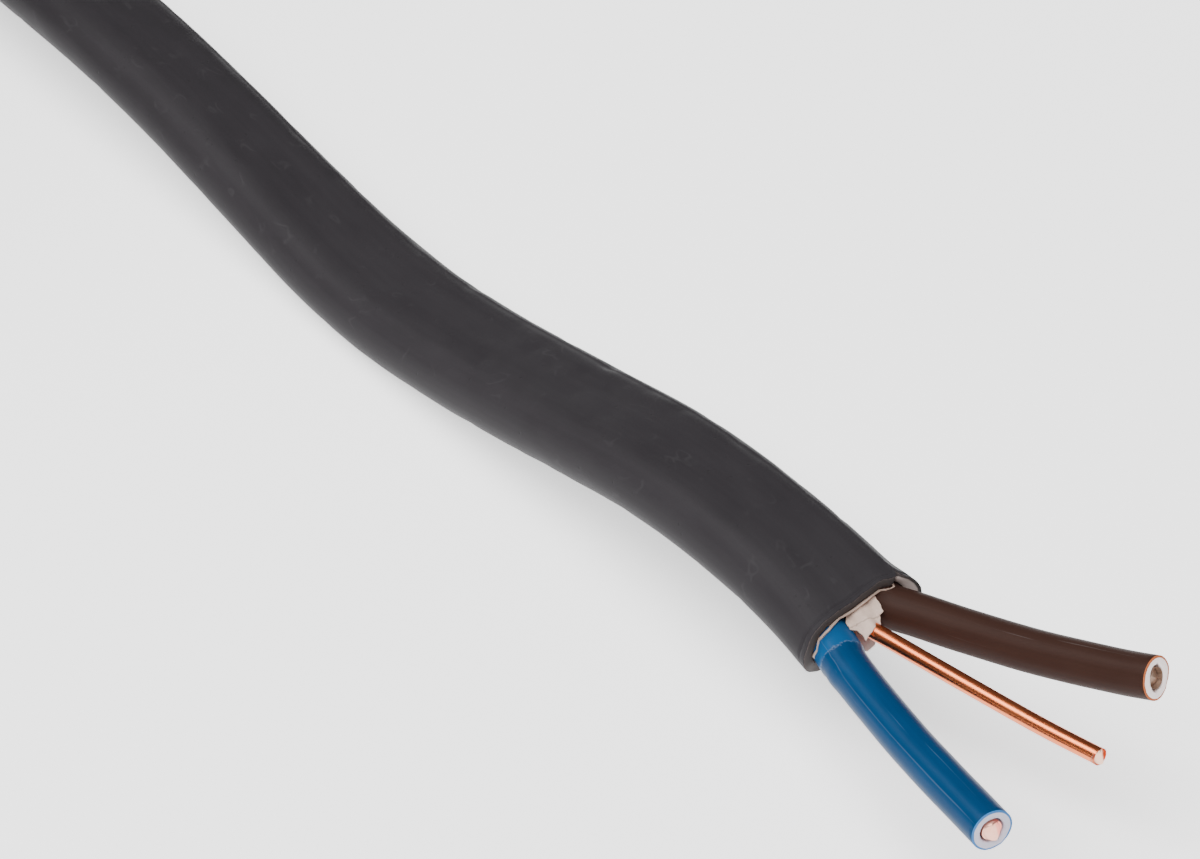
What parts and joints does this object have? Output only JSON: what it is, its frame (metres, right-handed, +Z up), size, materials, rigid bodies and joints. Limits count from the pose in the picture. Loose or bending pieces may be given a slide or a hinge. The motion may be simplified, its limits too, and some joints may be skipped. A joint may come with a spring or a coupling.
{
  "type": "coil of flat twin and earth cable with a stripped free end",
  "caption": "Flat grey twin and earth cable, wound on edge in a round tied coil, with a wavy free end stripped to show brown and blue cores and a bare earth wire.",
  "frame": {"origin": "on the floor, under the middle of the whole box", "axes": "+X along the free end, from the coil towards the stripped cores; +Z up, along the coil's axis"},
  "size_m": [0.2262, 0.107, 0.0461],
  "materials": {
    "sheath_pvc": "matt dark grey with a faint sheen",
    "bedding": "matt off-white",
    "brown_pvc": "satin brown skin over white",
    "blue_pvc": "satin blue skin over white",
    "copper": "bright drawn copper",
    "tie_nylon": "natural nylon"
  },
  "bodies": {
    "root": {"sheath": "sheath_pvc", "cable_coil": "sheath_pvc", "bedding": "bedding", "brown_insulation": "brown_pvc", "blue_insulation": "blue_pvc", "brown_conductor": "copper", "blue_conductor": "copper", "earth_conductor": "copper", "coil_tie_1": "tie_nylon", "coil_tie_2": "tie_nylon", "coil_tie_3": "tie_nylon"}
  },
  "joints": []
}
